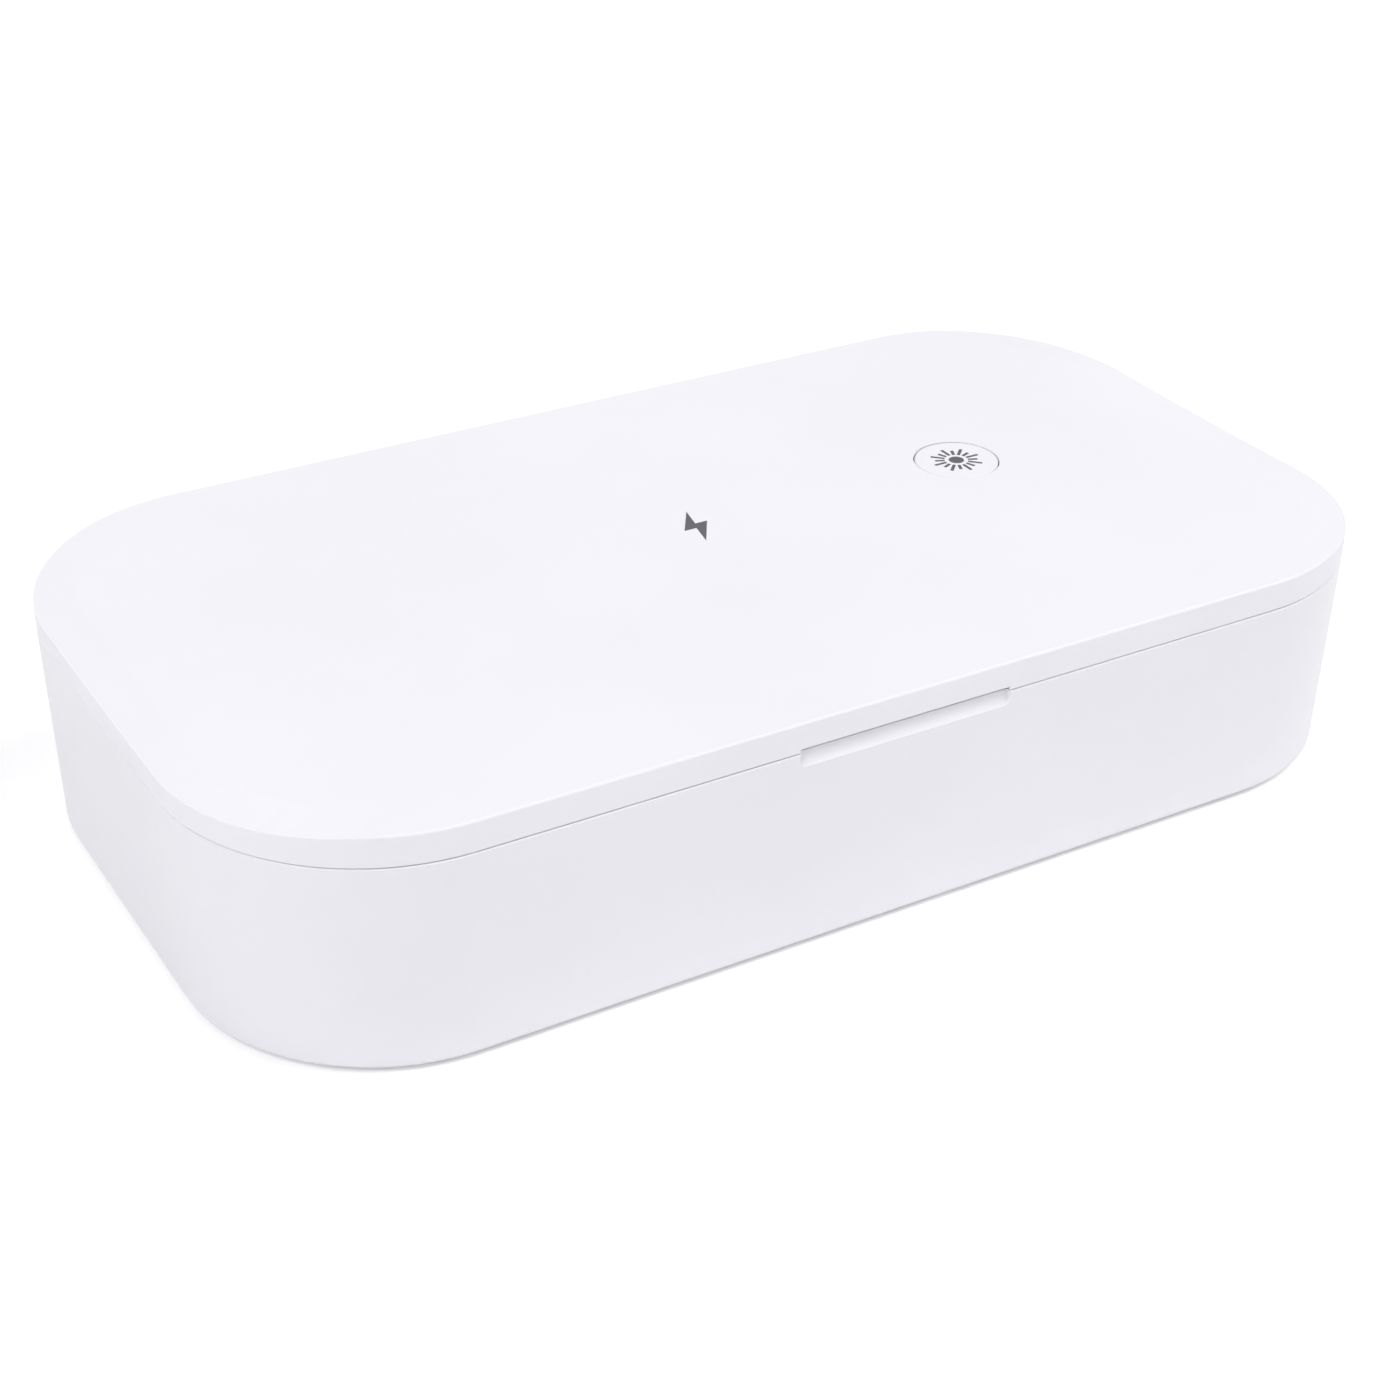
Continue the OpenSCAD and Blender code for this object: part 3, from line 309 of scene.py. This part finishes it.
def lathe(shape, profile, centre, steps):
    """Turns a profile of (radius, height) points round a vertical axis; returns its rings."""
    rings = [[shape.verts.new(centre + Vector((x, y, z))) for x, y in circle(r, steps)] for r, z in profile]
    for inner, outer in zip(rings, rings[1:]):
        for k in range(steps):
            shape.faces.new((inner[k], inner[k - 1], outer[k - 1], outer[k]))
    return rings


def cross(length, width):
    """Corners of a plus sign, counterclockwise."""
    far, near = length / 2, width / 2
    arm = [(far, -near), (far, near), (near, near)]
    turns = ((1, 0), (0, 1), (-1, 0), (0, -1))
    return [(x * c - y * s, x * s + y * c) for c, s in turns for x, y in arm]


def screw_head_face(shape, rim, centre, level):
    """Closes a head's rim with a face that has a cross recess."""
    outline = cross(CROSS_LENGTH, CROSS_WIDTH)
    foot_outline = [(x * CROSS_TAPER, y * CROSS_TAPER) for x, y in outline]
    mouth = [shape.verts.new(centre + Vector((x, y, level))) for x, y in outline]
    foot = [shape.verts.new(centre + Vector((x, y, level + CROSS_DEPTH))) for x, y in foot_outline]
    loops = rim + mouth
    for tri in tessellate_polygon([[v.co for v in rim], [v.co for v in mouth]]):
        shape.faces.new([loops[k] for k in tri])
    for k in range(len(mouth)):
        shape.faces.new((mouth[k - 1], mouth[k], foot[k], foot[k - 1]))
    shape.faces.new(foot)


def add_object(name, shape, material, place=(0, 0, 0)):
    """Ends a bmesh and puts it in the scene as an object."""
    mesh = bpy.data.meshes.new(name)
    shape.to_mesh(mesh)
    shape.free()
    mesh.materials.append(material)
    piece = bpy.data.objects.new(name, mesh)
    piece.location = place
    bpy.context.scene.collection.objects.link(piece)
    return piece


def turned_piece(name, shape, material, replaced, body):
    """Puts a closed shape in the scene in a CAD node's place."""
    bmesh.ops.recalc_face_normals(shape, faces=shape.faces[:])
    piece = add_object(name, shape, material)
    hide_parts(replaced)
    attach(piece, body)


def wound_coil():
    """Flat coil whose turns stand out as rings on both faces."""
    low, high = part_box("charging_coil")
    inner, outer = COIL_HOLE / 2, (high.x - low.x) / 2
    pitch = (outer - inner) / COIL_TURNS
    crest, middle = (high.z - low.z) / 2, (high.z + low.z) / 2
    valley = crest - TURN_GROOVE
    across = []
    for k in range(TURN_STEPS * COIL_TURNS + 1):
        rise = math.sin(math.pi * k / TURN_STEPS) ** 2
        across.append((inner + pitch * k / TURN_STEPS, valley + (crest - valley) * rise))
    section = [(r, middle + h) for r, h in across] + [(r, middle - h) for r, h in reversed(across)]
    shape = bmesh.new()
    lathe(shape, section + section[:1], COIL_CENTRE, steps=72)
    bmesh.ops.remove_doubles(shape, verts=shape.verts[:], dist=1e-7)
    copper = metal("coil_wire", srgb(205, 126, 78), rough=(0.26, 0.4))
    turned_piece("coil_windings", shape, copper, "charging_coil", "lid")


def lid_screws():
    """Six pan-head screws that look down, each with a cross recess."""
    low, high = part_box("lid_screws")
    profile = [(r * MM, low.z + h * MM) for r, h in SCREW_HEAD]
    profile += [(r * MM, high.z - h * MM) for r, h in SCREW_TIP]
    shape = bmesh.new()
    for x, y in SCREW_PLACES:
        centre = Vector((x * MM, y * MM, 0))
        rings = lathe(shape, profile, centre, steps=28)
        screw_head_face(shape, rings[0], centre, low.z)
        shape.faces.new(rings[-1])
    steel = metal("turned_steel", srgb(186, 188, 192), rough=(0.22, 0.38))
    turned_piece("lid_screw_heads", shape, steel, "lid_screws", "lid")


# ---------------------------------------------------------------- printed signs

def printed(name, outlines, place, body, material):
    """Flat ink shapes from closed outlines, laid on a surface at place."""
    shape = bmesh.new()
    for outline in outlines:
        shape.faces.new([shape.verts.new((x, y, 0)) for x, y in outline])
    bmesh.ops.triangulate(shape, faces=shape.faces[:])
    piece = add_object(name, shape, material, place)
    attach(piece, body)


def ray(angle, end):
    along = Vector((math.cos(angle), math.sin(angle)))
    across = Vector((-along.y, along.x)) * RAY_WIDTH / 2
    corners = ((RAY_START, -1), (end, -1), (end, 1), (RAY_START, 1))
    return [tuple(along * reach + across * side) for reach, side in corners]


def sun_sign():
    """A disc with sixteen rays, long and short in turn."""
    low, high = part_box("power_button")
    top = Vector(((low.x + high.x) / 2, (low.y + high.y) / 2, high.z + INK_LIFT))
    rays = [ray(2 * math.pi * k / RAY_COUNT, RAY_ENDS[k % 2]) for k in range(RAY_COUNT)]
    outlines = [circle(SUN_RADIUS, steps=40)] + rays
    printed("sun_sign", outlines, top, "button", ink("sign_ink"))


def charge_sign():
    """A plain lightning bolt over the charging coil."""
    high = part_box("lid_shell")[1]
    outline = [(x * MM, y * MM) for x, y in BOLT]
    top = COIL_CENTRE + Vector((0, 0, high.z + INK_LIFT))
    printed("charge_sign", [outline], top, "lid", ink("charge_ink"))


# ---------------------------------------------------------------- stage

def camera():
    level = math.cos(ELEVATION)
    back = Vector((math.sin(AZIMUTH) * level, -math.cos(AZIMUTH) * level, math.sin(ELEVATION)))
    right = Vector((0, 0, 1)).cross(back).normalized()
    up = back.cross(right)
    across = math.cos(ROLL) * right + math.sin(ROLL) * up
    upright = math.cos(ROLL) * up - math.sin(ROLL) * right
    data = bpy.data.cameras.new("camera")
    data.sensor_width = SENSOR_MM
    data.lens = FOCAL_PX / FRAME_PX * SENSOR_MM
    data.clip_start = NEAR_CLIP
    view = bpy.data.objects.new("camera", data)
    place = AIM - AIM_RIGHT * across - AIM_UP * upright + DISTANCE * back
    view.matrix_world = Matrix.Translation(place) @ Matrix((across, upright, back)).transposed().to_4x4()
    bpy.context.scene.collection.objects.link(view)
    bpy.context.scene.camera = view


def softbox(name, place, watts):
    data = bpy.data.lights.new(name, "AREA")
    data.shape = "DISK"
    data.size = SOFTBOX_SIZE
    data.energy = watts
    lamp = bpy.data.objects.new(name, data)
    lamp.location = place
    lamp.rotation_euler = (SOFTBOX_AIM - place).to_track_quat("-Z", "Y").to_euler()
    bpy.context.scene.collection.objects.link(lamp)


def seen_through(tree):
    """1 where the camera, a gloss or a glass ray looks, else 0."""
    path = tree.nodes.new("ShaderNodeLightPath")
    seen = path.outputs["Is Camera Ray"]
    for name in ("Is Glossy Ray", "Is Transmission Ray"):
        node = tree.nodes.new("ShaderNodeMath")
        node.operation = "MAXIMUM"
        tree.links.new(seen, node.inputs[0])
        tree.links.new(path.outputs[name], node.inputs[1])
        seen = node.outputs[0]
    return seen


def floor():
    """A pale floor that looks white but still takes the object's shadow."""
    mesh = bpy.data.meshes.new("floor")
    sides = ((-1, -1), (1, -1), (1, 1), (-1, 1))
    corners = [(x * FLOOR_REACH, y * FLOOR_REACH, -FLOOR_SET) for x, y in sides]
    mesh.from_pydata(corners, [], [(0, 1, 2, 3)])
    sheet = bpy.data.objects.new("floor", mesh)
    finish = Finish("floor", roughness=0.9)
    finish.colour(finish.noise(FLOOR_PATTERN, 2), *FLOOR_TONES)
    finish.shader.inputs["Emission Color"].default_value = (1, 1, 1, 1)
    glow = finish.add("ShaderNodeMath", operation="MULTIPLY")
    glow.inputs[1].default_value = FLOOR_GLOW
    finish.link(seen_through(finish.tree), glow.inputs[0])
    finish.link(glow.outputs[0], finish.shader.inputs["Emission Strength"])
    mesh.materials.append(finish.material)
    bpy.context.scene.collection.objects.link(sheet)


def world():
    """Even studio light from all round; what looks at it directly sees white."""
    space = bpy.data.worlds.new("studio")
    bpy.context.scene.world = space
    space.use_nodes = True
    tree = space.node_tree
    background = tree.nodes["Background"]
    background.inputs["Color"].default_value = (1, 1, 1, 1)
    strength = tree.nodes.new("ShaderNodeMapRange")
    strength.inputs["To Min"].default_value = WORLD_LIGHT
    strength.inputs["To Max"].default_value = 1.0
    tree.links.new(seen_through(tree), strength.inputs["Value"])
    tree.links.new(strength.outputs["Result"], background.inputs["Strength"])


plastics()
electronics()
metals()
wound_coil()
lid_screws()
sun_sign()
charge_sign()
camera()
floor()
world()
for name, place, watts in SOFTBOXES:
    softbox(name, place, watts)
bpy.context.scene.view_settings.view_transform = "Standard"
